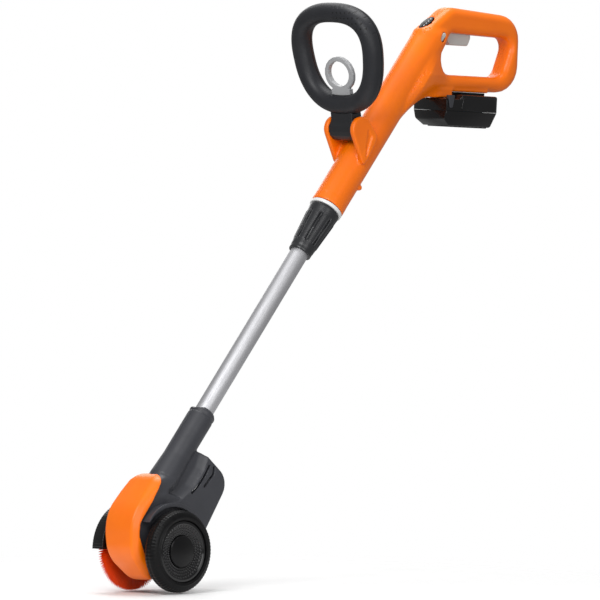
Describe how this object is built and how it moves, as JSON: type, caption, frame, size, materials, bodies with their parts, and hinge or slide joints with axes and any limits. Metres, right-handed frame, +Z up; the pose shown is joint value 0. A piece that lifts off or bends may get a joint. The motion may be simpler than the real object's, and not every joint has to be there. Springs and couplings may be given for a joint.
{
  "type": "cordless patio weeder",
  "caption": "Long-handled cordless patio weeder with a spinning brush wheel, guide wheel, telescopic tube, tilting loop handle, trigger D-handle and slide-on battery.",
  "frame": {"origin": "middle of the underside of the box round the whole tool at rest, on the ground", "axes": "+X points back to the user, +Y to the brush side (the guide wheel is on -Y), +Z up"},
  "size_m": [0.7268, 0.1602, 0.7696],
  "materials": {
    "anodised_aluminium": "satin",
    "black_abs": "glossy",
    "bristle_nylon": "matte",
    "cell_wrap": "satin",
    "circuit_board": "satin",
    "dark_abs": "satin",
    "grey_abs": "satin",
    "orange_abs": "glossy",
    "rubber": "matte",
    "soft_grip": "matte",
    "steel": "satin",
    "white_abs": "satin"
  },
  "bodies": {
    "handle": {"handle_shell_near": "orange_abs", "handle_shell_far": "orange_abs", "handle_screw_1": "steel", "handle_screw_2": "steel", "handle_screw_3": "steel", "seal_ring": "white_abs", "tube_collet": "grey_abs", "guide_sleeve": "black_abs", "pivot_pin": "steel", "trigger_pin": "steel", "switch_body": "black_abs", "trigger_spring": "steel", "indicator_lens": "black_abs", "control_board": "circuit_board", "terminal_block": "black_abs", "battery_rail": "black_abs"},
    "collar": {"clamp_collar": "dark_abs"},
    "lower_unit": {"lower_tube": "anodised_aluminium", "head_shell_near": "dark_abs", "head_shell_far": "dark_abs", "head_screw_1": "steel", "head_screw_2": "steel", "head_screw_3": "steel", "front_cover": "orange_abs", "brush_guard": "black_abs", "motor_can": "steel", "spindle_bearing_near": "steel", "spindle_bearing_far": "steel", "wheel_axle": "steel", "axle_clip": "steel"},
    "rotor": {"motor_rotor": "steel", "bevel_pinion": "steel"},
    "brush_drive": {"brush_spindle": "steel", "bevel_gear": "steel", "brush_flange": "steel", "brush": "bristle_nylon", "brush_washer": "steel", "brush_nut": "steel"},
    "wheel": {"wheel_tyre": "rubber", "wheel_hub": "black_abs", "hub_cap": "black_abs"},
    "loop": {"loop_front_grip": "soft_grip", "loop_rear_shell": "dark_abs", "release_spring": "steel"},
    "ring": {"release_ring": "grey_abs"},
    "trigger_lever": {"trigger": "grey_abs"},
    "lock_off": {"lock_off_button": "grey_abs"},
    "battery": {"battery_case_upper": "black_abs", "battery_case_lower": "black_abs", "battery_cell_1": "cell_wrap", "battery_cell_2": "cell_wrap", "battery_cell_3": "cell_wrap", "battery_cell_4": "cell_wrap", "battery_cell_5": "cell_wrap"},
    "latch_near": {"battery_latch_near": "grey_abs"},
    "latch_far": {"battery_latch_far": "grey_abs"}
  },
  "joints": [
    {"name": "tube_slide", "type": "slide", "parent": "handle", "child": "lower_unit", "axis": [0.6521, 0, 0.7581], "range_m": [0, 0.15]},
    {"name": "collar_twist", "type": "hinge", "parent": "handle", "child": "collar", "pos_m": [-0.01098, 0, 0.46598], "axis": [0.6521, 0, 0.7581], "range_deg": [0, 75]},
    {"name": "motor_spin", "type": "hinge", "parent": "lower_unit", "child": "rotor", "pos_m": [-0.30102, 0, 0.05594], "axis": [0.6521, 0, 0.7581], "continuous": true},
    {"name": "brush_spin", "type": "hinge", "parent": "lower_unit", "child": "brush_drive", "pos_m": [-0.30102, 0, 0.05594], "axis": [0, 1, 0], "continuous": true},
    {"name": "wheel_spin", "type": "hinge", "parent": "lower_unit", "child": "wheel", "pos_m": [-0.30102, 0, 0.05594], "axis": [0, 1, 0], "continuous": true},
    {"name": "loop_tilt", "type": "hinge", "parent": "handle", "child": "loop", "pos_m": [0.05477, 0, 0.60069], "axis": [0, 1, 0], "range_deg": [-45, 35]},
    {"name": "ring_pull", "type": "slide", "parent": "loop", "child": "ring", "axis": [-0.1736, 0, 0.9848], "range_m": [0, 0.006], "stiffness_N_per_m": 600, "deforming": ["release_spring"]},
    {"name": "trigger_pull", "type": "hinge", "parent": "handle", "child": "trigger_lever", "pos_m": [0.23813, 0, 0.72676], "axis": [0, -1, 0], "range_deg": [0, 9], "stiffness_Nm_per_rad": 0.3, "deforming": ["trigger_spring"]},
    {"name": "lock_off_slide", "type": "slide", "parent": "handle", "child": "lock_off", "axis": [0, 1, 0], "range_m": [0, 0.003], "stiffness_N_per_m": 400},
    {"name": "battery_slide", "type": "slide", "parent": "handle", "child": "battery", "axis": [0.9976, 0, -0.0698], "range_m": [0, 0.065]},
    {"name": "latch_near_press", "type": "slide", "parent": "battery", "child": "latch_near", "axis": [0, 1, 0], "range_m": [0, 0.0015], "stiffness_N_per_m": 400},
    {"name": "latch_far_press", "type": "slide", "parent": "battery", "child": "latch_far", "axis": [0, -1, 0], "range_m": [0, 0.0015], "stiffness_N_per_m": 400}
  ],
  "couplings": [
    {"joint": "brush_spin", "follows": "motor_spin", "ratio": -0.33333}
  ]
}
